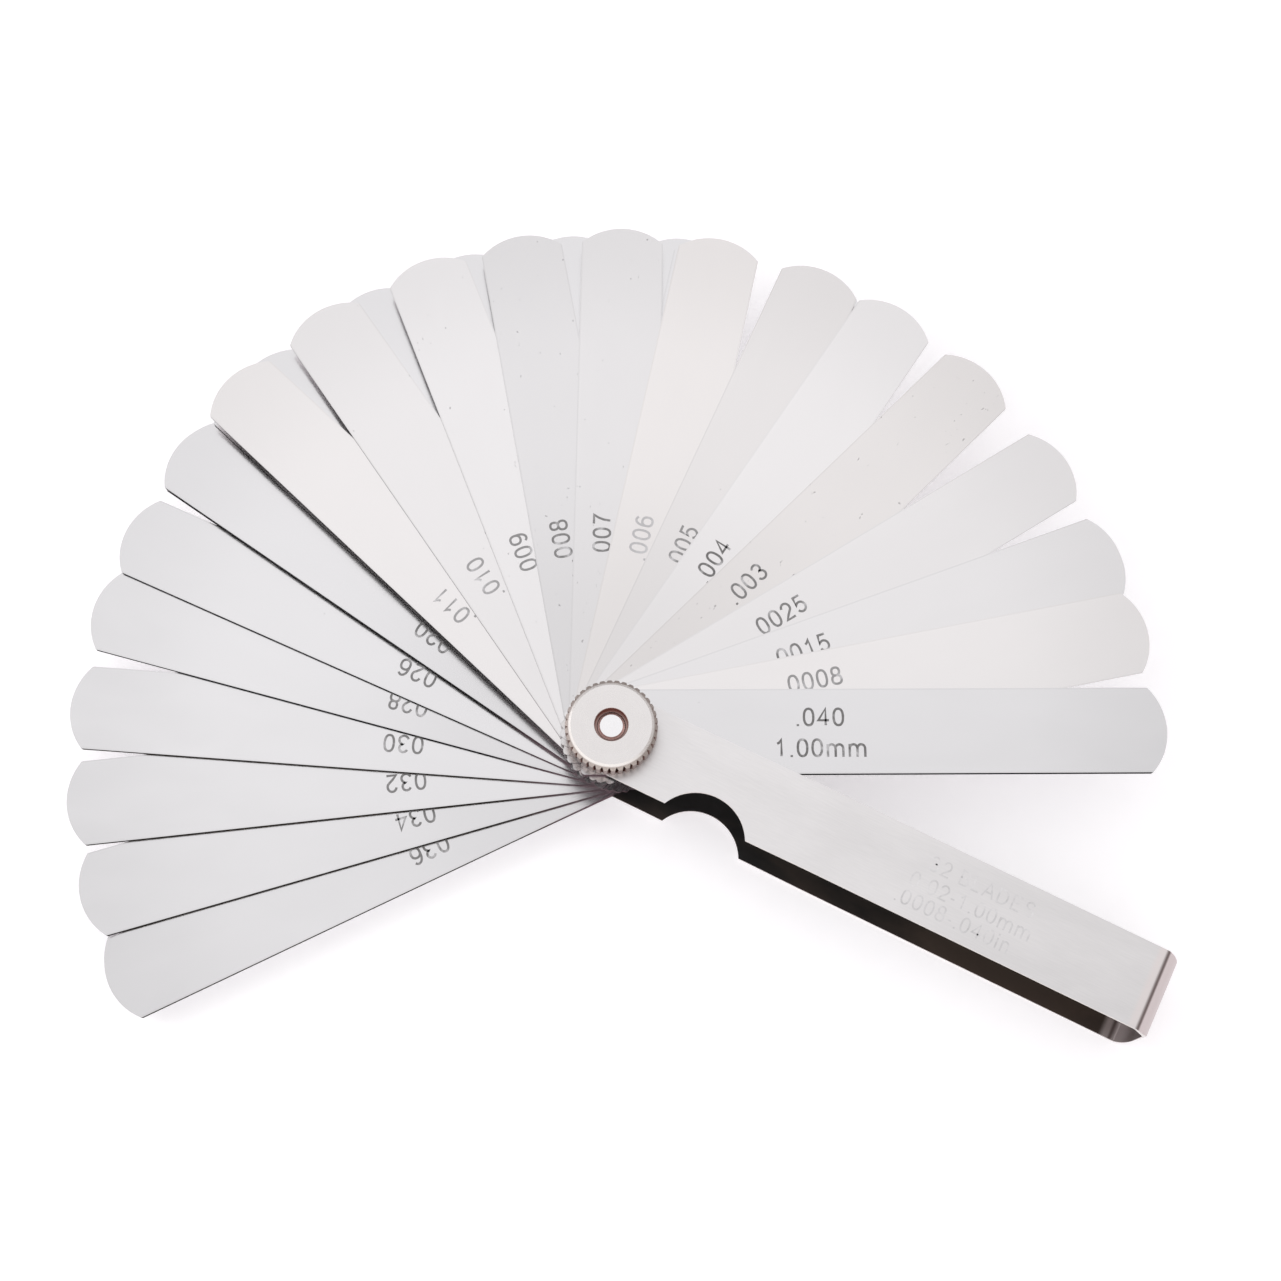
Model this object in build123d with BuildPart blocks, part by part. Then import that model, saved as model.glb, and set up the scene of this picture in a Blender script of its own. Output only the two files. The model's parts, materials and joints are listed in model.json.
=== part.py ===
from build123d import *
import os
from math import cos, radians, sin, sqrt, tan

# Feeler gauge: a fan of steel thickness blades that turn on one clamping screw and fold away
# between the cheeks of a U-shaped sheet-steel holder.
#
# Frame: millimetres, +Z up. The origin is on the pivot axis, in the plane of the holder's back
# face, on which the tool lies. +X runs along the holder, from the pivot to the closed bend.

INCH = 25.4

# Blades. Each entry is thickness in thousandths of an inch: angle from the holder, in degrees.
# They are listed from the front of the stack, under the thumb nut, to the back.
FAN = {
    40: 26.5,
    0.8: 37.5,
    1.5: 46.5,
    2: 46.0,
    2.5: 58.0,
    3: 71.0,
    4: 82.5,
    5: 92.0,
    6: 104.0,
    7: 115.0,
    8: 126.5,
    9: 137.5,
    10: 150.5,
    11: 162.5,
    12: 91.5,
    13: 104.5,
    14: 108.0,
    15: 121.0,
    16: 133.5,
    17: 145.0,
    18: 159.0,
    19: 162.5,
    20: 171.5,
    22: 171.0,
    24: 171.5,
    26: 182.0,
    28: 191.0,
    30: 202.0,
    32: 212.5,
    34: 222.5,
    36: 232.0,
    38: 231.5,
}
blade_width = INCH / 2
blade_reach = 81.4  # pivot axis to blade tip
tip_radius = 9.3
tip_corner_radius = 0.4
butt_reach = 4.4  # pivot axis to the square butt end
butt_corner_radius = 0.6
blade_gap = 0.01  # between neighbouring blades

# Pivot screw
shoulder_radius = 2.5
thread_radius = 2.0
running_fit = 0.05  # radial clearance of everything that turns on the screw
head_radius = 4.0
head_edge_radius = 0.5
end_chamfer = 0.35
screw_recess = 1.0  # depth of the screw's end below the nut's face

# Holder
sheet = 0.6
holder_width = 12.2
cheek_clearance = 0.05  # between the stack and each cheek
flare = 1.27  # each cheek steps out by this much past the finger notch; also the head's height
flare_start = 9.0
flare_end = 34.0
flare_radius = 60.0
crease_front = 84.9  # pivot axis to each crease at the closed end, on the centre line of the sheet
crease_back = 85.8
crease_radius = 0.8
shoulder_front = 87.0  # pivot axis to each shoulder of the bulged end, on the same line
shoulder_back = 87.8
shoulder_step = 2.8  # from a cheek to its shoulder, square to the cheek
bulge_radius = 5.0
end_corner_radius = 3.0  # in plan, centred so that the arc would run out past the bulge
end_corner_overhang = 0.8
notch_start = 11.6
notch_end = 24.4
notch_depth = 4.0

# Washer and thumb nut
washer_radius = 5.2
washer_thickness = 0.4
seat_gap = 0.01
nut_radius = 6.7
nut_height = 3.8
knurl_teeth = 38
knurl_depth = 0.4
face_bevel = 0.85
foot_bevel = 0.4
counterbore_radius = 2.4
counterbore_depth = 1.3
mouth_chamfer = 0.1

# Levels, worked out from the back face upwards
thickness = {mil: mil * INCH / 1000 for mil in FAN}
stack_bottom = flare + sheet + cheek_clearance
stack_top = stack_bottom + sum(thickness.values()) + blade_gap * (len(FAN) - 1)
front_cheek_bottom = stack_top + cheek_clearance
front_cheek_top = front_cheek_bottom + sheet
washer_bottom = front_cheek_top + seat_gap
nut_bottom = washer_bottom + washer_thickness + seat_gap
nut_top = nut_bottom + nut_height
screw_top = nut_top - screw_recess

os.makedirs("parts", exist_ok=True)


def save(part, name):
    """Label one finished piece and write it as its own STEP file."""
    part.label = name
    export_step(part, f"parts/{name}.step")


# ---------------------------------------------------------------- holder
# One strip, folded round the blades. Both cheeks are pinched together at the pivot and open out
# past the notch. The end that joins them is creased at each cheek and bulges between the creases.
back_line = flare + sheet / 2
front_line = front_cheek_bottom + sheet / 2
front_cheek_line = front_line + flare
back_cheek_line = back_line - flare
open_end = -holder_width / 2
strip_path = [
    (open_end, front_line),
    (flare_start, front_line),
    (flare_end, front_cheek_line),
    (crease_front, front_cheek_line),
    (shoulder_front, front_cheek_line - shoulder_step),
    (shoulder_back, back_cheek_line + shoulder_step),
    (crease_back, back_cheek_line),
    (flare_end, back_cheek_line),
    (flare_start, back_line),
    (open_end, back_line),
]
end_radii = [crease_radius, bulge_radius, bulge_radius, crease_radius]
strip_radii = [flare_radius] * 2 + end_radii + [flare_radius] * 2

notch_middle = (notch_start + notch_end) / 2
notch_half = (notch_end - notch_start) / 2
notch_radius = (notch_half**2 + notch_depth**2) / (2 * notch_depth)
notch_centre = (notch_middle, -holder_width / 2 + notch_depth - notch_radius)

with BuildPart() as holder:
    with BuildSketch(Plane.XZ.offset(-holder_width / 2)):
        with BuildLine():
            FilletPolyline(*strip_path, radius=strip_radii)
            offset(amount=sheet / 2, side=Side.BOTH)
        make_face()
    extrude(amount=holder_width)
    # the open end of each cheek is rounded about the pivot
    with BuildSketch(Plane.XY.offset(-1)):
        with BuildLine():
            ThreePointArc((0, holder_width / 2), (open_end, 0), (0, -holder_width / 2))
            Polyline(
                (0, -holder_width / 2),
                (open_end - 1, -holder_width / 2),
                (open_end - 1, holder_width / 2),
                (0, holder_width / 2),
            )
        make_face()
    extrude(amount=nut_top + 2, mode=Mode.SUBTRACT)
    # the corners of the closed end are rounded off
    end = holder.part.bounding_box().max.X
    with BuildSketch(Plane.XY.offset(-1)):
        with Locations((end - end_corner_radius, 0)):
            Rectangle(2 * end_corner_radius, holder_width + 2, align=(Align.MIN, Align.CENTER))
        with Locations((end + end_corner_overhang, 0)):
            RectangleRounded(
                4 * end_corner_radius,
                holder_width,
                end_corner_radius,
                align=(Align.MAX, Align.CENTER),
                mode=Mode.SUBTRACT,
            )
    extrude(amount=nut_top + 2, mode=Mode.SUBTRACT)
    # finger notch through both cheeks
    with BuildSketch(Plane.XY.offset(-1)):
        with Locations(notch_centre):
            Circle(notch_radius)
    extrude(amount=nut_top + 2, mode=Mode.SUBTRACT)
    # the back cheek grips the screw and the front cheek slides on it
    with BuildSketch(Plane.XY.offset(-1)):
        Circle(shoulder_radius)
    extrude(amount=stack_bottom + 1, mode=Mode.SUBTRACT)
    with BuildSketch(Plane.XY.offset(stack_top)):
        Circle(shoulder_radius + running_fit)
    extrude(amount=nut_height, mode=Mode.SUBTRACT)
save(holder.part, "holder")

# ---------------------------------------------------------------- pivot screw
# A plain low head, level with the back face of the holder, a smooth shoulder that the blades
# turn on, and a reduced end that carries the nut.
with BuildPart() as pivot_screw:
    with BuildSketch(Plane.XY):
        Circle(head_radius)
    extrude(amount=flare)
    fillet(pivot_screw.edges().group_by(Axis.Z)[0], radius=head_edge_radius)
    with BuildSketch(Plane.XY.offset(flare)):
        Circle(shoulder_radius)
    extrude(amount=front_cheek_top - flare)
    with BuildSketch(Plane.XY.offset(front_cheek_top)):
        Circle(thread_radius)
    extrude(amount=screw_top - front_cheek_top)
    chamfer(pivot_screw.edges().group_by(Axis.Z)[-1], length=end_chamfer)
save(pivot_screw.part, "pivot_screw")

# ---------------------------------------------------------------- blades
# Straight sides, a shallow arc for a tip and a square butt end.
half_width = blade_width / 2
tip_sagitta = tip_radius - sqrt(tip_radius**2 - half_width**2)
side_end = blade_reach - tip_sagitta


def blade_name(mil):
    """blade_0015 is the blade that is 1.5 thousandths of an inch thick."""
    return f"blade_{round(mil * 10):04d}"


top = stack_top
for mil, fan_angle in FAN.items():
    bottom = top - thickness[mil]
    along = (cos(radians(fan_angle)), sin(radians(fan_angle)), 0)
    seat = Plane(origin=(0, 0, bottom), x_dir=along, z_dir=(0, 0, 1))
    with BuildPart() as blade:
        with BuildSketch(seat) as outline:
            with BuildLine():
                Polyline(
                    (side_end, half_width),
                    (-butt_reach, half_width),
                    (-butt_reach, -half_width),
                    (side_end, -half_width),
                )
                ThreePointArc((side_end, -half_width), (blade_reach, 0), (side_end, half_width))
            make_face()
            fillet(outline.vertices().sort_by(Axis.X)[-2:], radius=tip_corner_radius)
            fillet(outline.vertices().sort_by(Axis.X)[:2], radius=butt_corner_radius)
            Circle(shoulder_radius + running_fit, mode=Mode.SUBTRACT)
        extrude(amount=thickness[mil])
    save(blade.part, blade_name(mil))
    top = bottom - blade_gap

# ---------------------------------------------------------------- washer
with BuildPart() as washer:
    with BuildSketch(Plane.XY.offset(washer_bottom)):
        Circle(washer_radius)
        Circle(thread_radius + running_fit, mode=Mode.SUBTRACT)
    extrude(amount=washer_thickness)
save(washer.part, "washer")

# ---------------------------------------------------------------- thumb nut
# Straight-knurled rim between two bevels, and a counterbore that the screw's end shows in.
groove_half = knurl_depth * tan(radians(42))
with BuildPart() as thumb_nut:
    with BuildSketch(Plane.XY.offset(nut_bottom)):
        Circle(nut_radius)
    extrude(amount=nut_height)
    chamfer(thumb_nut.edges().group_by(Axis.Z)[-1], length=face_bevel)
    chamfer(thumb_nut.edges().group_by(Axis.Z)[0], length=foot_bevel)
    with BuildSketch(Plane.XY.offset(nut_bottom)):
        with PolarLocations(nut_radius, knurl_teeth):
            Polygon((-knurl_depth, 0), (0.1, -groove_half), (0.1, groove_half), align=None)
    extrude(amount=nut_height, mode=Mode.SUBTRACT)
    with BuildSketch(Plane.XY.offset(nut_bottom)):
        Circle(thread_radius + running_fit)
    extrude(amount=nut_height, mode=Mode.SUBTRACT)
    with BuildSketch(Plane.XY.offset(nut_top - counterbore_depth)):
        Circle(counterbore_radius)
    extrude(amount=counterbore_depth, mode=Mode.SUBTRACT)
    mouth = thumb_nut.edges().filter_by(GeomType.CIRCLE).group_by(Axis.Z)[-1].sort_by(SortBy.RADIUS)[0]
    chamfer(mouth, length=mouth_chamfer)
save(thumb_nut.part, "thumb_nut")
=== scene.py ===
import json
import math

import bmesh
import bpy
from mathutils import Matrix, Vector


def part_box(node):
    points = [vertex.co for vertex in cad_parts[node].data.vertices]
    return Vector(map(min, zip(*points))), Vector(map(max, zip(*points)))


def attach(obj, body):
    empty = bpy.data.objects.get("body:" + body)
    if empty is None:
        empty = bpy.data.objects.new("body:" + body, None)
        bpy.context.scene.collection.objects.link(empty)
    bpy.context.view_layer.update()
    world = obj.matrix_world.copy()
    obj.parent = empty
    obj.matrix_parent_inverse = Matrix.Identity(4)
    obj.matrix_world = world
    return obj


# Feeler gauge. Metres, +Z up. The origin is on the pivot axis, in the plane of the holder's back
# face, and +X runs along the holder. The CAD gives every steel part its shape. This script gives
# them their finishes, and adds the numbers etched on the blades and stamped on the holder.

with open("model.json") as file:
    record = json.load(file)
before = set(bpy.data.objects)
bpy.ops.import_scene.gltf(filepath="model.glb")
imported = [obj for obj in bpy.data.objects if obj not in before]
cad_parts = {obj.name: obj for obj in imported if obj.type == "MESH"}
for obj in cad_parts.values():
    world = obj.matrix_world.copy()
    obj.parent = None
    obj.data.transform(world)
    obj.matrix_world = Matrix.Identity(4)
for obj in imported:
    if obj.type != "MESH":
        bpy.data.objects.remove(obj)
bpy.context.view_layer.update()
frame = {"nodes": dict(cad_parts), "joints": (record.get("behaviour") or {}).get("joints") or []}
nodes = frame["nodes"]

MM = 0.001
INCH = 25.4 * MM

# ---------------------------------------------------------------- camera
SENSOR_WIDTH, FOCAL_LENGTH = 36.0, 57.13  # in millimetres, as Blender takes them
CAMERA_PLACE = Vector((28.42, -59.34, 304.66)) * MM
CAMERA_HEADING, CAMERA_TILT, CAMERA_ROLL = 22.61, 15.42, 3.58  # degrees

camera_data = bpy.data.cameras.new("camera")
camera_data.sensor_width = SENSOR_WIDTH
camera_data.lens = FOCAL_LENGTH
camera_data.clip_start = 0.01
camera_data.clip_end = 20.0
camera = bpy.data.objects.new("camera", camera_data)
bpy.context.scene.collection.objects.link(camera)
camera.matrix_world = (
    Matrix.Translation(CAMERA_PLACE)
    @ Matrix.Rotation(math.radians(CAMERA_HEADING), 4, "Z")
    @ Matrix.Rotation(math.radians(CAMERA_TILT), 4, "X")
    @ Matrix.Rotation(math.radians(CAMERA_ROLL), 4, "Z")
)
bpy.context.scene.camera = camera
bpy.context.scene.view_settings.view_transform = "Standard"


# ---------------------------------------------------------------- node helpers
class Nodes:
    """Short ways to add and join the nodes of one node tree."""

    def __init__(self, tree):
        self.tree = tree
        tree.nodes.clear()

    def add(self, kind, **settings):
        made = self.tree.nodes.new(kind)
        for key, value in settings.items():
            setattr(made, key, value)
        return made

    def feed(self, socket, value):
        """Join an output to the socket, or set the socket to a plain value."""
        if isinstance(value, bpy.types.NodeSocket):
            self.tree.links.new(value, socket)
        else:
            socket.default_value = value

    def math(self, operation, first, second=0.0):
        made = self.add("ShaderNodeMath", operation=operation)
        self.feed(made.inputs[0], first)
        self.feed(made.inputs[1], second)
        return made.outputs[0]

    def vector(self, operation, first, second=(0.0, 0.0, 0.0)):
        made = self.add("ShaderNodeVectorMath", operation=operation)
        self.feed(made.inputs[0], first)
        self.feed(made.inputs[1], second)
        return made

    def times(self, colour, factor):
        """The colour, brighter or darker by a factor."""
        made = self.add("ShaderNodeVectorMath", operation="SCALE")
        self.feed(made.inputs[0], colour[:3] if isinstance(colour, tuple) else colour)
        self.feed(made.inputs["Scale"], factor)
        return made.outputs[0]

    def split(self, value):
        made = self.add("ShaderNodeSeparateXYZ")
        self.feed(made.inputs[0], value)
        return made.outputs

    def turned(self, value, angle):
        """The vector turned about Z."""
        made = self.add("ShaderNodeMapping")
        self.feed(made.inputs["Vector"], value)
        made.inputs["Rotation"].default_value = (0.0, 0.0, angle)
        return made.outputs[0]

    def sized(self, value, size, shift=(0.0, 0.0, 0.0)):
        """Coordinates in which a feature of this size, in metres, is one unit."""
        made = self.add("ShaderNodeMapping")
        self.feed(made.inputs["Vector"], value)
        made.inputs["Scale"].default_value = [1 / s for s in size]
        made.inputs["Location"].default_value = shift
        return made.outputs[0]

    def noise(self, value, detail=2.0, distortion=0.0):
        """Smooth noise about 0.5, with lumps about one unit across."""
        made = self.add("ShaderNodeTexNoise")
        self.feed(made.inputs["Vector"], value)
        made.inputs["Scale"].default_value = 1.0
        made.inputs["Detail"].default_value = detail
        made.inputs["Distortion"].default_value = distortion
        return made.outputs[0]

    def span(self, value, low, high, to_low=0.0, to_high=1.0, smooth=False):
        """low to high becomes to_low to to_high, and stays within them."""
        made = self.add("ShaderNodeMapRange", interpolation_type="SMOOTHSTEP" if smooth else "LINEAR")
        limits = {"From Min": low, "From Max": high, "To Min": to_low, "To Max": to_high}
        for name, number in limits.items():
            self.feed(made.inputs[name], number)
        self.feed(made.inputs["Value"], value)
        return made.outputs[0]

    def mix(self, factor, first, second):
        made = self.add("ShaderNodeMix", data_type="RGBA")
        self.feed(made.inputs[0], factor)
        self.feed(made.inputs[6], first)
        self.feed(made.inputs[7], second)
        return made.outputs[2]

    def bump(self, height, distance, under=None):
        """The normal of this relief, laid over the relief whose normal is under."""
        made = self.add("ShaderNodeBump")
        made.inputs["Strength"].default_value = 1.0
        made.inputs["Distance"].default_value = distance
        self.feed(made.inputs["Height"], height)
        if under is not None:
            self.feed(made.inputs["Normal"], under)
        return made.outputs[0]


class Finish(Nodes):
    """A material with one Principled shader."""

    def __init__(self, name):
        self.material = bpy.data.materials.new(name)
        self.material.use_nodes = True
        super().__init__(self.material.node_tree)
        self.shader = self.add("ShaderNodeBsdfPrincipled")
        output = self.add("ShaderNodeOutputMaterial")
        self.feed(output.inputs["Surface"], self.shader.outputs["BSDF"])
        coordinates = self.add("ShaderNodeTexCoord")
        self.place = coordinates.outputs["Object"]
        self.facing = coordinates.outputs["Normal"]

    def set(self, **values):
        """Feed the shader's sockets, named with underscores for spaces."""
        for name, value in values.items():
            self.feed(self.shader.inputs[name.replace("_", " ")], value)

    def brush(self, amount, way):
        """Stretch the highlights as polishing along way does."""
        spaces = {"convert_from": "OBJECT", "convert_to": "WORLD"}
        tangent = self.add("ShaderNodeVectorTransform", vector_type="VECTOR", **spaces)
        tangent.inputs[0].default_value = way
        self.set(Anisotropic=amount, Tangent=tangent.outputs[0])


WHITE = (1.0, 1.0, 1.0, 1.0)
GREEN_SHARE = 0.984  # of the steel's grey, where red and blue are 1


def grey(value, warm=0.0):
    """Steel's near-neutral grey, very slightly pink; warm above zero is redder, below zero bluer."""
    return (value * (1 + warm), value * GREEN_SHARE, value * (1 - warm), 1.0)


def dress(node, material):
    """Give a CAD node this material alone."""
    nodes[node].data.materials.clear()
    nodes[node].data.materials.append(material)


# ---------------------------------------------------------------- blades
# Each blade is a strip of polished spring steel: fine lengthwise grain, cloudy patches of a
# slightly different polish and a few specks of stain. Its cut sides are painted dark as painted
# shade, lighter and mauve near the butt, and its face gets painted shade near the pivot, towards
# the tip and along its long edges. The tables are by thickness, in thousandths of an inch. A blade
# that a table leaves out is plain.
BLADE_TONE = {
    0.8: 1.04, 3: 0.97, 4: 1.03, 5: 0.97, 6: 1.01, 7: 0.97, 8: 0.95, 9: 1.03, 10: 1.02, 11: 1.04,
    20: 0.99, 40: 0.97,
}
BLADE_WARM = {
    0.8: 0.018, 1.5: 0.008, 2.5: 0.012, 3: 0.024, 4: 0.012, 5: 0.018, 6: 0.024, 7: 0.008, 8: 0.006,
    9: 0.010, 10: 0.012, 11: 0.018,
}
BLADE_SPECKS = {3: 1.0, 7: 0.9, 8: 0.9, 9: 0.7, 10: 0.5, 28: 0.4}
# Blades whose sides get the darkest painted shade
DARK_SIDES = (11, 13, 15, 17, 19, 20, 24, 26, 28, 40)
# Blades with less painted shade near the pivot
BRIGHT_NEAR_PIVOT = (0.8, 1.5, 2.5, 9, 10, 11, 26, 30, 32, 40)
HALF_WIDTH = INCH / 4
BLADE_REACH = 81.4 * MM
# Painted shade on the sides near the butt, lighter and mauve
BUTT_SHADES = ((0.16, 0.13, 0.14, 1.0), (0.42, 0.34, 0.36, 1.0))


def blade_finish(name, mil, angle):
    """The steel of the blade that is mil thousandths thick and lies at this angle."""
    m = Finish(name)
    seed = mil * 3.7
    local = m.turned(m.place, -angle)
    along, across, _ = m.split(local)
    grain = m.noise(m.sized(local, (9 * MM, 0.16 * MM, 4 * MM), (seed, 0.0, 0.0)), detail=2.0)
    cloud = m.noise(m.sized(local, (16 * MM, 7 * MM, 9 * MM), (0.0, seed, 0.0)), detail=3.0, distortion=0.6)
    flex = m.noise(m.sized(local, (45 * MM, 22 * MM, 30 * MM), (0.0, 0.0, seed)), detail=0.0)
    fleck = m.noise(m.sized(local, (0.9 * MM, 0.6 * MM, 1.0 * MM), (seed, seed, 0.0)), detail=2.0)

    tone = m.math("ADD", BLADE_TONE.get(mil, 1.0) - 0.05, m.math("MULTIPLY", cloud, 0.08))
    tone = m.math("ADD", tone, m.math("MULTIPLY", grain, 0.02))
    # Painted shade: the face is darker near the pivot, less so for the blades in BRIGHT_NEAR_PIVOT, and
    # darker towards the tip.
    near_tone = 0.96 if mil in BRIGHT_NEAR_PIVOT else 0.89
    pivot_shade = m.span(along, 12 * MM, 48 * MM, near_tone, 0.98, smooth=True)
    tip = m.span(along, 58 * MM, BLADE_REACH, 1.0, 0.93, smooth=True)
    tone = m.math("MULTIPLY", tone, m.math("MULTIPLY", pivot_shade, tip))
    stain_edge = 0.80 - 0.085 * BLADE_SPECKS.get(mil, 0.0)
    patch = m.span(cloud, 0.45, 0.65, 0.0, 0.02)
    stain = m.span(m.math("ADD", fleck, patch), stain_edge, stain_edge + 0.05, 0.0, 0.35)
    tone = m.math("MULTIPLY", tone, m.math("SUBTRACT", 1.0, stain))
    # Painted shade: the face is darker along its long edges.
    rim = m.span(m.math("ABSOLUTE", across), HALF_WIDTH - 0.35 * MM, HALF_WIDTH, 1.0, 0.93, smooth=True)
    face = m.times(grey(0.80, BLADE_WARM.get(mil, 0.002)), m.math("MULTIPLY", tone, rim))

    # Painted shade: the sides are painted dark, with a mottle, and lighter and mauve near the butt.
    upright = m.math("ABSOLUTE", m.split(m.facing)[2])
    side = m.span(upright, 0.35, 0.65, 1.0, 0.0)
    side_mottle = m.noise(m.sized(local, (0.35 * MM, 0.35 * MM, 5 * MM), (seed, seed, 0.0)), detail=2.0)
    dark = 0.012 if mil in DARK_SIDES else 0.06
    side_colour = m.mix(side_mottle, grey(dark, 0.10), grey(2.2 * dark, 0.14))
    at_butt = m.span(along, 6 * MM, 20 * MM, 1.0, 0.0, smooth=True)
    butt_colour = m.mix(side_mottle, *BUTT_SHADES)
    side_colour = m.mix(at_butt, side_colour, butt_colour)
    m.set(Base_Color=m.mix(side, face, side_colour), Metallic=1.0)
    # Painted shade: the sides' reflections are tinted dark as well.
    m.set(Specular_Tint=m.mix(side, WHITE, m.mix(at_butt, grey(2.5 * dark, 0.10), butt_colour)))

    roughness = m.math("ADD", m.span(cloud, 0.3, 0.7, 0.17, 0.24), m.span(grain, 0.3, 0.7, -0.02, 0.02))
    m.set(Roughness=m.math("ADD", roughness, m.math("MULTIPLY", side, 0.15)))
    flexed = m.bump(flex, 0.25 * MM)
    m.set(Normal=m.bump(grain, 0.0003 * MM, flexed))
    m.brush(0.45, (math.cos(angle), math.sin(angle), 0.0))
    return m.material


# ---------------------------------------------------------------- numbers on the blades
# Each blade is etched with its thickness in inches, over its thickness in millimetres.
METRIC = {
    0.8: 0.02, 1.5: 0.04, 2: 0.05, 2.5: 0.06, 3: 0.08, 4: 0.10, 5: 0.13, 6: 0.15, 7: 0.18, 8: 0.20,
    9: 0.23, 10: 0.25, 11: 0.28, 12: 0.30, 13: 0.33, 14: 0.35, 15: 0.38, 16: 0.40, 17: 0.43, 18: 0.45,
    19: 0.48, 20: 0.50, 22: 0.55, 24: 0.60, 26: 0.65, 28: 0.70, 30: 0.75, 32: 0.80, 34: 0.85, 36: 0.90,
    38: 0.95, 40: 1.00,
}
DIGIT_HEIGHT = 2.75 * MM
STROKE = 0.36 * MM
MARK_ALONG = 30.5 * MM  # from the pivot to the middle of the number
INCH_LINE, METRIC_LINE = 2.1 * MM, -2.5 * MM  # from the blade's centre line
MARK_LIFT = 0.001 * MM
MARK_THICKNESS = 0.004 * MM
ORDER_RISE = 0.12  # each further stroke of a character is thicker by this share, so that none coincide


def arc(x, y, across, up, first, last, step=15):
    """Points on an ellipse, from one angle to another in degrees, either way round."""
    count = max(2, round(abs(last - first) / step))
    angles = [math.radians(first + (last - first) * i / count) for i in range(count + 1)]
    return [(x + across * math.cos(a), y + up * math.sin(a)) for a in angles]


OVAL_SQUARENESS = 0.86  # 1 is an ellipse, and less is nearer to a rectangle


def ring(x, y, across, up):
    """Points on a closed, slightly squared oval."""

    def pull(value):
        return math.copysign(abs(value) ** OVAL_SQUARENESS, value)

    angles = [math.radians(15 * i) for i in range(24)]
    return [(x + across * pull(math.cos(a)), y + up * pull(math.sin(a))) for a in angles]


# Plain characters in strokes of even width, one unit high and centred across. Each is (advance,
# open strokes, closed strokes).
SIX = ([arc(0.02, 0.50, 0.27, 0.45, 50, 185) + [(-0.25, 0.34)]], [ring(0.0, 0.33, 0.25, 0.28)])
GLYPHS = {
    "0": (0.78, [], [ring(0.0, 0.50, 0.25, 0.45)]),
    "1": (0.78, [[(-0.17, 0.72), (-0.05, 0.79), (0.05, 0.95), (0.05, 0.05)]], []),
    "2": (0.78, [
        arc(0.0, 0.68, 0.24, 0.27, 170, -35) + [(-0.06, 0.28), (-0.25, 0.05), (0.26, 0.05)],
    ], []),
    "3": (0.78, [arc(-0.01, 0.73, 0.22, 0.22, 160, -80) + arc(-0.01, 0.28, 0.25, 0.24, 80, -165)], []),
    "4": (0.80, [[(0.11, 0.05), (0.11, 0.95), (-0.28, 0.32), (0.29, 0.32)]], []),
    "5": (0.78, [
        [(0.22, 0.95), (-0.15, 0.95), (-0.21, 0.48)] + arc(0.0, 0.33, 0.25, 0.28, 135, -155),
    ], []),
    "6": (0.78, *SIX),
    "7": (0.78, [[(-0.25, 0.95), (0.26, 0.95), (0.10, 0.70), (-0.01, 0.40), (-0.06, 0.05)]], []),
    "8": (0.78, [], [ring(0.0, 0.735, 0.205, 0.215), ring(0.0, 0.285, 0.25, 0.235)]),
    "9": (0.78, *[[[(-x, 1 - y) for x, y in stroke] for stroke in strokes] for strokes in SIX]),
    ".": (0.39, [[(0.0, 0.0), (0.0, 0.11)]], []),
    "-": (0.47, [[(-0.13, 0.36), (0.13, 0.36)]], []),
    "m": (1.16, [[(-0.41, 0.0), (-0.41, 0.70)]] + [
        [(x - 0.41, 0.48)] + arc(x - 0.205, 0.45, 0.205, 0.23, 150, 0) + [(x, 0.0)]
        for x in (0.0, 0.41)
    ], []),
    "i": (0.34, [[(0.0, 0.0), (0.0, 0.70)], [(0.0, 0.86), (0.0, 0.97)]], []),
    "n": (0.78, [
        [(-0.21, 0.0), (-0.21, 0.70)],
        [(-0.21, 0.45)] + arc(0.0, 0.42, 0.21, 0.26, 150, 0) + [(0.21, 0.0)],
    ], []),
    "A": (0.90, [[(-0.34, 0.0), (0.0, 0.97), (0.34, 0.0)], [(-0.21, 0.33), (0.21, 0.33)]], []),
    "B": (0.88, [
        [(-0.24, 0.53), (-0.24, 0.95), (0.05, 0.95)] + arc(0.05, 0.74, 0.19, 0.21, 75, -90),
        [(-0.24, 0.53), (0.07, 0.53)] + arc(0.07, 0.29, 0.21, 0.24, 75, -90)
        + [(-0.24, 0.05), (-0.24, 0.53)],
    ], []),
    "D": (0.94, [], [
        [(-0.28, 0.05), (-0.28, 0.95), (0.0, 0.95)] + arc(0.0, 0.50, 0.31, 0.45, 75, -90),
    ]),
    "E": (0.88, [
        [(0.26, 0.95), (-0.24, 0.95), (-0.24, 0.05), (0.28, 0.05)],
        [(-0.24, 0.52), (0.22, 0.52)],
    ], []),
    "L": (0.76, [[(-0.20, 1.0), (-0.20, 0.05), (0.25, 0.05)]], []),
    "S": (0.88, [arc(0.0, 0.73, 0.24, 0.22, 20, 265) + arc(0.0, 0.28, 0.27, 0.24, 85, -165)], []),
    " ": (0.40, [], []),
}


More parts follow.
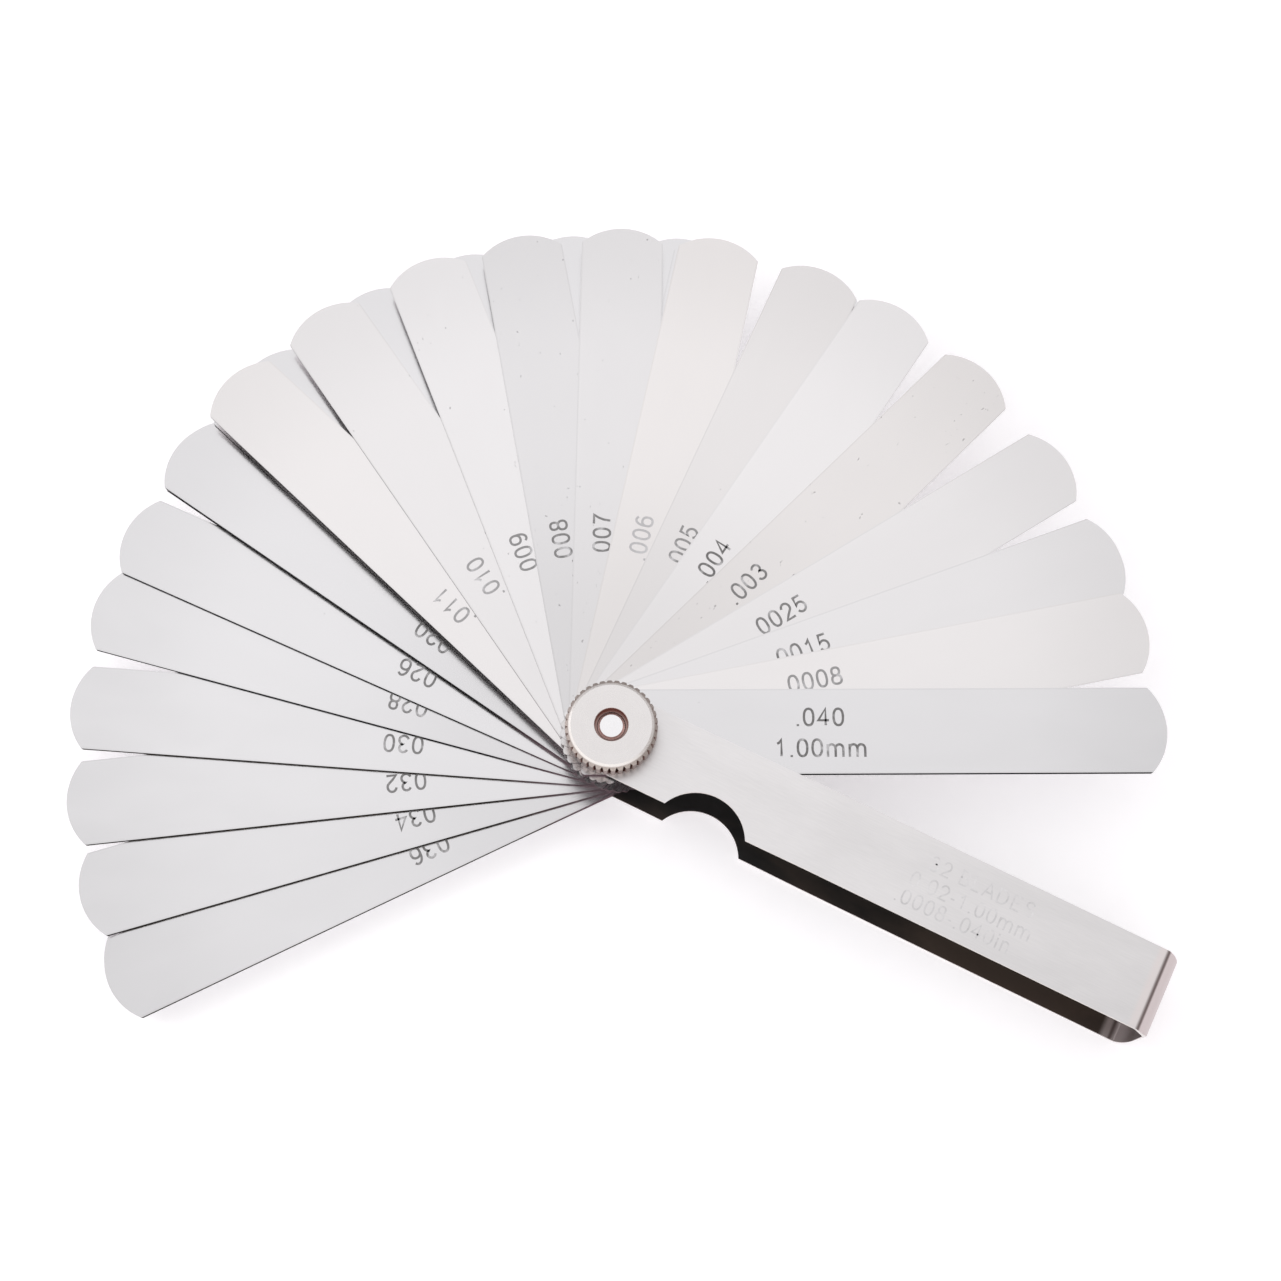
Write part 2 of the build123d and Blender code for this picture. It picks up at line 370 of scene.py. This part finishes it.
def ribbon(points, closed, width, thickness):
    """Vertices and faces of one flat solid stroke of even width, with its base at z = 0."""
    count = len(points)
    vertices = []
    for i, here in enumerate(points):
        before = points[i - 1] if closed or i else here
        after = points[(i + 1) % count] if closed or i < count - 1 else here
        come = Vector((here[0] - before[0], here[1] - before[1]))
        go = Vector((after[0] - here[0], after[1] - here[1]))
        come = (come if come.length else go).normalized()
        go = (go if go.length else come).normalized()
        middle = (come + go).normalized()
        reach = width / 2 / max(middle.dot(go), 0.55)
        side = Vector((-middle.y, middle.x)) * reach
        for x, y in ((here[0] + side.x, here[1] + side.y), (here[0] - side.x, here[1] - side.y)):
            vertices += [(x, y, 0.0), (x, y, thickness)]
    faces = []
    for i in range(count if closed else count - 1):
        a, b = 4 * i, 4 * ((i + 1) % count)
        faces += [(a, b, b + 1, a + 1), (a + 2, a + 3, b + 3, b + 2)]
        faces += [(a + 1, b + 1, b + 3, a + 3), (a, a + 2, b + 2, b)]
    if not closed:
        last = 4 * (count - 1)
        faces += [(0, 1, 3, 2), (last, last + 2, last + 3, last + 1)]
    return vertices, faces


def lettering(name, lines, height, stroke, thickness, matrix):
    """One piece from several lines, each (words, along, across), laid out in the plane of matrix."""
    vertices, faces = [], []
    for words, along, across in lines:
        x = along - sum(GLYPHS[c][0] for c in words) * height / 2
        for character in words:
            advance, open_strokes, closed_strokes = GLYPHS[character]
            x += advance * height / 2
            strokes = [(s, False) for s in open_strokes] + [(s, True) for s in closed_strokes]
            for order, (points, closed) in enumerate(strokes):
                placed = [(x + px * height, across + (py - 0.5) * height) for px, py in points]
                more, more_faces = ribbon(placed, closed, stroke, thickness * (1 + ORDER_RISE * order))
                first = len(vertices)
                vertices += more
                faces += [[first + i for i in face] for face in more_faces]
            x += advance * height / 2
    mesh = bpy.data.meshes.new(name)
    mesh.from_pydata(vertices, [], faces)
    mesh.transform(matrix)
    tidy = bmesh.new()
    tidy.from_mesh(mesh)
    bmesh.ops.recalc_face_normals(tidy, faces=tidy.faces)
    tidy.to_mesh(mesh)
    tidy.free()
    piece = bpy.data.objects.new(name, mesh)
    bpy.context.scene.collection.objects.link(piece)
    return piece


# How faint the number is all over, by blade, apart from where it is worn away
MARK_FADE = {0.8: 0.35, 1.5: 0.10, 3: 0.10, 4: 0.0, 5: 0.30, 6: 0.80, 9: 0.25, 10: 0.45, 11: 0.45, 40: 0.0}
USUAL_FADE = 0.12


def mark_finish(name, mil, angle):
    """Etching: dull dark grey, uneven, and worn back to bright steel in places."""
    m = Finish(name)
    local = m.turned(m.place, -angle)
    fine = m.noise(m.sized(local, (0.35 * MM, 0.35 * MM, 1.0 * MM), (mil, 0.0, 0.0)), detail=3.0)
    wear = m.noise(m.sized(local, (2.6 * MM, 2.0 * MM, 1.0 * MM), (0.0, mil, 0.0)), detail=1.0)
    fade = MARK_FADE.get(mil, USUAL_FADE)
    worn = m.span(m.math("ADD", wear, m.math("MULTIPLY", fine, 0.3)), 0.66, 0.90, 0.8 * fade, 0.85)
    ink = m.mix(fine, grey(0.10, 0.02), grey(0.26, 0.02))
    bare = m.span(worn, 0.0, 1.0, 0.35, 1.0)
    m.set(Base_Color=m.mix(worn, ink, grey(0.74)), Metallic=bare, Roughness=0.45)
    return m.material


def inch_label(mil):
    """.0008 or .040, with no zero before the point."""
    if mil % 1:
        return f"{mil / 1000:.4f}".lstrip("0")
    return f"{mil / 1000:.3f}".lstrip("0")


for joint in frame["joints"]:
    node = joint["child"]
    if not node.startswith("blade_"):
        continue
    number = node.removeprefix("blade_")
    mil = int(number) / 10
    angle = math.radians(-joint["range_deg"][0])  # each blade's range starts where it is folded
    dress(node, blade_finish("steel_" + number, mil, angle))
    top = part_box(node)[1].z
    metric_label = f"{METRIC[mil]:.2f}mm"
    lines = [(inch_label(mil), MARK_ALONG, INCH_LINE), (metric_label, MARK_ALONG, METRIC_LINE)]
    seat = Matrix.Rotation(angle, 4, "Z")
    seat.translation.z = top + MARK_LIFT
    marks = lettering("marks_" + number, lines, DIGIT_HEIGHT, STROKE, MARK_THICKNESS, seat)
    marks.data.materials.append(mark_finish("etching_" + number, mil, angle))
    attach(marks, node)


# ---------------------------------------------------------------- holder
CREASE = 85.0 * MM  # from the pivot to the creases at the closed end
CREASE_HALF_WIDTH = 0.42 * MM
# Painted shade inside the fold, and painted brown reflection towards the closed end
FOLD_END_REFLECTION = (0.105, 0.080, 0.066, 1.0)
# A painted highlight where the holder starts to bend, just before the crease
BEND_HIGHLIGHT = (0.80, 0.715, 0.70, 1.0)
# Painted shade round the bend past the crease
BEND_SHADE = (0.62, 0.545, 0.54)
# A painted dark line of shade along the crease
CREASE_SHADE = (0.16, 0.12, 0.115, 1.0)


def holder_finish():
    """Bright satin strip outside, with bright rounded edges. Inside the fold it is dull and dark with
    painted shade, turning brown towards the closed end as a painted reflection. At the bend it has a
    painted highlight before the crease, a painted dark line along the crease and painted shade past it.
    """
    m = Finish("steel_holder")
    low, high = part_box("holder")
    middle = (low.z + high.z) / 2
    grain = m.noise(m.sized(m.place, (3 * MM, 0.18 * MM, 0.18 * MM)), detail=2.0)
    cloud = m.noise(m.sized(m.place, (22 * MM, 9 * MM, 9 * MM)), detail=3.0, distortion=0.5)
    x, y, z = m.split(m.place)
    face_x, face_y, face_z = m.split(m.facing)

    # Painted shade: the faces inside the fold and inside the closed end are painted dark, turning brown
    # towards the end as a painted reflection.
    towards = m.math("MULTIPLY", face_z, m.math("SUBTRACT", middle, z))
    inside = m.span(towards, 0.5 * MM, 1.5 * MM)
    near_end = m.math("GREATER_THAN", x, 80 * MM)
    end_inside = m.math("MULTIPLY", m.span(face_x, -0.4, -0.2, 1.0, 0.0), near_end)
    inside = m.math("MAXIMUM", inside, end_inside)
    cut = m.span(m.math("ABSOLUTE", face_y), 0.5, 0.7)

    tone = m.math("ADD", m.span(cloud, 0.3, 0.7, 0.93, 1.03), m.span(grain, 0.3, 0.7, -0.02, 0.02))
    tone = m.math("MULTIPLY", tone, m.span(x, 50 * MM, 80 * MM, 1.0, 0.94, smooth=True))
    outer = m.times(grey(0.785, 0.014), tone)
    shade = m.math("ADD", m.span(cloud, 0.35, 0.65), m.span(x, 30 * MM, 80 * MM, -0.5, 0.5))
    inner_shade = m.mix(m.span(shade, 0.0, 1.0), grey(0.045, 0.03), FOLD_END_REFLECTION)
    colour = m.mix(inside, outer, inner_shade)
    # Painted highlight: lighter just before the crease.
    before_crease = m.span(x, CREASE - 1.9 * MM, CREASE - 0.9 * MM, 0.0, 0.6, smooth=True)
    colour = m.mix(before_crease, colour, BEND_HIGHLIGHT)
    # Painted shade: darker past the crease, round the bend.
    past_crease = m.math("GREATER_THAN", x, CREASE)
    colour = m.mix(past_crease, colour, m.times(BEND_SHADE, tone))
    # Painted shade: a dark line along the crease.
    from_crease = m.math("ABSOLUTE", m.math("SUBTRACT", x, CREASE))
    creased = m.span(from_crease, 0.10 * MM, CREASE_HALF_WIDTH, 0.85, 0.0)
    colour = m.mix(creased, colour, CREASE_SHADE)
    colour = m.mix(cut, colour, m.times(grey(0.70, 0.05), tone))
    roughness = m.math("ADD", m.span(cloud, 0.3, 0.7, 0.28, 0.36), m.math("MULTIPLY", inside, 0.12))
    m.set(Base_Color=colour, Metallic=1.0, Roughness=roughness)
    # Painted shade: reflections inside the fold are tinted dark as well.
    m.set(Specular_Tint=m.mix(inside, WHITE, grey(0.10, 0.10)))
    m.set(Normal=m.bump(grain, 0.0004 * MM, m.bump(cloud, 0.05 * MM)))
    m.brush(0.35, (1.0, 0.0, 0.0))
    return m.material


dress("holder", holder_finish())


def stamp_finish():
    """Shallow stamping in the holder, a shade off the steel round it."""
    m = Finish("stamping")
    wear = m.noise(m.sized(m.place, (5 * MM, 3 * MM, 3 * MM)), detail=2.0)
    fine = m.noise(m.sized(m.place, (0.4 * MM, 0.4 * MM, 0.4 * MM)), detail=2.0)
    shade = m.math("ADD", m.span(wear, 0.35, 0.65, 0.62, 0.77), m.span(fine, 0.3, 0.7, -0.04, 0.04))
    m.set(Base_Color=m.times(grey(1.0, 0.01), shade), Metallic=1.0, Roughness=0.36)
    return m.material


STAMP_LINES = [
    ("32 BLADES", 57.6 * MM, 2.7 * MM),
    ("0.02-1.00mm", 57.1 * MM, -0.5 * MM),
    (".0008-.040in", 55.6 * MM, -3.4 * MM),
]
STAMP_HEIGHT, STAMP_STROKE = 2.3 * MM, 0.26 * MM
STAMP_LIFT, STAMP_THICKNESS = 0.002 * MM, 0.01 * MM
stamp_seat = Matrix.Translation((0.0, 0.0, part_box("holder")[1].z + STAMP_LIFT))
stamp = lettering("holder_stamp", STAMP_LINES, STAMP_HEIGHT, STAMP_STROKE, STAMP_THICKNESS, stamp_seat)
stamp.data.materials.append(stamp_finish())
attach(stamp, "holder")


# ---------------------------------------------------------------- thumb nut, washer and screw
# Painted shade and brown reflection in the knurl's grooves and on the screw's wall
VALLEY_SHADE = ((0.11, 0.045, 0.034, 1.0), (0.30, 0.15, 0.12, 1.0))
# Painted shade in the nut's bore: brown on its wall and floor, and nearly black in the gap next to the
# screw
BORE_WALL = ((0.42, 0.25, 0.22, 1.0), (0.62, 0.42, 0.38, 1.0))
BORE_GAP, BORE_FLOOR = (0.02, 0.012, 0.01, 1.0), (0.34, 0.23, 0.21, 1.0)
# A painted highlight on the nut's bevel
BEVEL_HIGHLIGHT = (0.86, 0.83, 0.81, 1.0)
# Painted brown reflection and shade on the nut's knurl
KNURL_REFLECTION = ((0.34, 0.29, 0.27, 1.0), (0.56, 0.50, 0.47, 1.0))


def turned_finish(name, shade, warm, roughness, valley=None, bore=None, bevel=None):
    """Lathe-turned metal, with fine rings about the pivot axis.

    valley holds the radii between which the wall gets painted shade and brown reflection, from the
    crests of its knurl to the roots. Within the radius bore the metal is a hole with painted shade,
    nearly black next to the screw, and beyond the radius bevel it slopes down to the knurl, with a
    painted highlight on the bevel and painted brown reflection on the knurl.
    """
    m = Finish(name)
    flat_place = m.vector("MULTIPLY", m.place, (1.0, 1.0, 0.0)).outputs[0]
    radius = m.vector("LENGTH", flat_place).outputs["Value"]
    rings = m.add("ShaderNodeTexNoise", noise_dimensions="1D")
    m.feed(rings.inputs["W"], m.math("MULTIPLY", radius, 1 / (0.12 * MM)))
    rings.inputs["Scale"].default_value = 1.0
    rings.inputs["Detail"].default_value = 2.0
    ring = rings.outputs[0]
    cloud = m.noise(m.sized(m.place, (2.5 * MM, 2.5 * MM, 2.5 * MM)), detail=3.0)
    fine = m.noise(m.sized(m.place, (0.25 * MM, 0.25 * MM, 0.25 * MM)), detail=2.0)
    tone = m.math("ADD", m.span(cloud, 0.3, 0.7, 0.97, 1.02), m.span(ring, 0.3, 0.7, -0.02, 0.02))
    colour = m.times(grey(shade, warm), tone)
    rough = m.span(cloud, 0.3, 0.7, roughness - 0.03, roughness + 0.05)
    rough = m.math("ADD", rough, m.span(fine, 0.3, 0.7, -0.02, 0.02))
    facing_up = m.math("ABSOLUTE", m.split(m.facing)[2])
    wall = m.span(facing_up, 0.3, 0.6, 1.0, 0.0)
    tint = WHITE
    # Painted highlight on the bevel, and painted brown reflection and shade on the knurl beyond it
    if bevel:
        sloping = m.span(facing_up, 0.9, 0.97, 1.0, 0.0)
        sloping = m.math("MULTIPLY", m.span(radius, bevel, bevel + 0.05 * MM), sloping)
        knurled = m.span(radius, bevel + 0.30 * MM, bevel + 0.45 * MM)
        colour = m.mix(sloping, colour, m.mix(knurled, BEVEL_HIGHLIGHT, m.mix(fine, *KNURL_REFLECTION)))
    # Painted shade and brown reflection on the wall, darkest at the knurl's roots; its reflections are
    # tinted the same.
    if valley:
        crest, root = valley
        depth = m.math("MULTIPLY", m.span(radius, root, crest, 1.0, 0.35), wall)
        painted_shade = m.mix(fine, *VALLEY_SHADE)
        colour = m.mix(depth, colour, painted_shade)
        tint = m.mix(depth, tint, painted_shade)
    # Painted shade in the bore, nearly black next to the screw; its reflections are tinted the same.
    if bore:
        within = m.math("LESS_THAN", radius, bore)
        off_screw = m.span(radius, bore - 0.40 * MM, bore - 0.34 * MM)
        bore_floor = m.mix(off_screw, BORE_GAP, BORE_FLOOR)
        painted_shade = m.mix(wall, bore_floor, m.mix(cloud, *BORE_WALL))
        colour = m.mix(within, colour, painted_shade)
        tint = m.mix(within, tint, painted_shade)
    m.set(Base_Color=colour, Specular_Tint=tint, Metallic=1.0, Roughness=rough)
    m.set(Normal=m.bump(ring, 0.0004 * MM))
    return m.material


NUT_BORE = 2.46 * MM
nut_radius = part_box("thumb_nut")[1].x
knurl_valley = (nut_radius - 0.03 * MM, nut_radius - 0.36 * MM)
nut_bevel = nut_radius - 0.87 * MM
nickel = turned_finish("nickel_nut", 0.765, 0.026, 0.26, knurl_valley, NUT_BORE, nut_bevel)
dress("thumb_nut", nickel)
WHOLE_WALL = (0.0, 0.001 * MM)  # the screw has no knurl, and its whole wall gets the painted shade
dress("pivot_screw", turned_finish("steel_screw", 0.90, 0.004, 0.24, WHOLE_WALL))
dress("washer", turned_finish("steel_washer", 0.60, 0.03, 0.38))

# ---------------------------------------------------------------- floor, sky and light
FLOOR_HALF = 4.0
FLOOR_DROP = 0.05 * MM
floor_mesh = bpy.data.meshes.new("floor")
signs = ((-1, -1), (1, -1), (1, 1), (-1, 1))
corners = [(sx * FLOOR_HALF, sy * FLOOR_HALF, -FLOOR_DROP) for sx, sy in signs]
floor_mesh.from_pydata(corners, [], [(0, 1, 2, 3)])
floor = bpy.data.objects.new("floor", floor_mesh)
bpy.context.scene.collection.objects.link(floor)
paper = Finish("floor_paper")
paper_fibre = paper.noise(paper.sized(paper.place, (3 * MM, 3 * MM, 3 * MM)), detail=3.0)
paper_tone = paper.span(paper_fibre, 0.2, 0.8, 0.90, 0.93)
paper.set(Base_Color=paper.times(grey(1.0), paper_tone), Roughness=0.9, Specular_IOR_Level=0.0)
paper.set(Emission_Color=grey(1.0), Emission_Strength=0.30)
floor_mesh.materials.append(paper.material)

# The sky is what the steel reflects: a pale crown, and walls that are brighter in front of the
# object, towards -Y, than behind it.
FRONT_HORIZON, BACK_HORIZON = (1.15, 1.10, 1.07, 1.0), (0.40, 0.36, 0.34, 1.0)
FRONT_WALL, BACK_WALL = (1.05, 1.04, 1.04, 1.0), (0.74, 0.735, 0.74, 1.0)
CROWN = (0.885, 0.885, 0.89, 1.0)
GLOW_WAY = Vector((-0.26, 0.42, 0.87)).normalized()

world = bpy.data.worlds.new("studio")
bpy.context.scene.world = world
world.use_nodes = True
sky = Nodes(world.node_tree)
sky_way = sky.add("ShaderNodeTexCoord").outputs["Generated"]
_, depth, height = sky.split(sky_way)
lift = sky.span(height, 0.0, 0.35, 0.0, 1.0, smooth=True)
crown = sky.span(height, 0.55, 0.92, 0.0, 1.0, smooth=True)
front = sky.span(depth, -0.9, 0.3, 1.0, 0.0, smooth=True)
horizon = sky.mix(front, BACK_HORIZON, FRONT_HORIZON)
walls = sky.mix(lift, horizon, sky.mix(front, BACK_WALL, FRONT_WALL))
dome = sky.mix(crown, walls, CROWN)
nearness = sky.vector("DOT_PRODUCT", sky_way, tuple(GLOW_WAY)).outputs["Value"]
glow = sky.span(nearness, 0.86, 1.0, 0.0, 0.22, smooth=True)
background = sky.add("ShaderNodeBackground")
sky.feed(background.inputs["Color"], dome)
sky.feed(background.inputs["Strength"], sky.math("ADD", glow, 1.0))
sky_out = sky.add("ShaderNodeOutputWorld")
sky.feed(sky_out.inputs["Surface"], background.outputs[0])


# A round softbox, low on the left
KEY_PLACE = Vector((-0.60, -0.10, 0.34))
KEY_AIM = Vector((0.0, 0.01, 0.01))
key_light = bpy.data.lights.new("key", "AREA")
key_light.shape = "DISK"
key_light.size = 0.40
key_light.energy = 1.0
key = bpy.data.objects.new("key", key_light)
key.location = KEY_PLACE
key.rotation_euler = (KEY_AIM - KEY_PLACE).to_track_quat("-Z", "Y").to_euler()
bpy.context.scene.collection.objects.link(key)
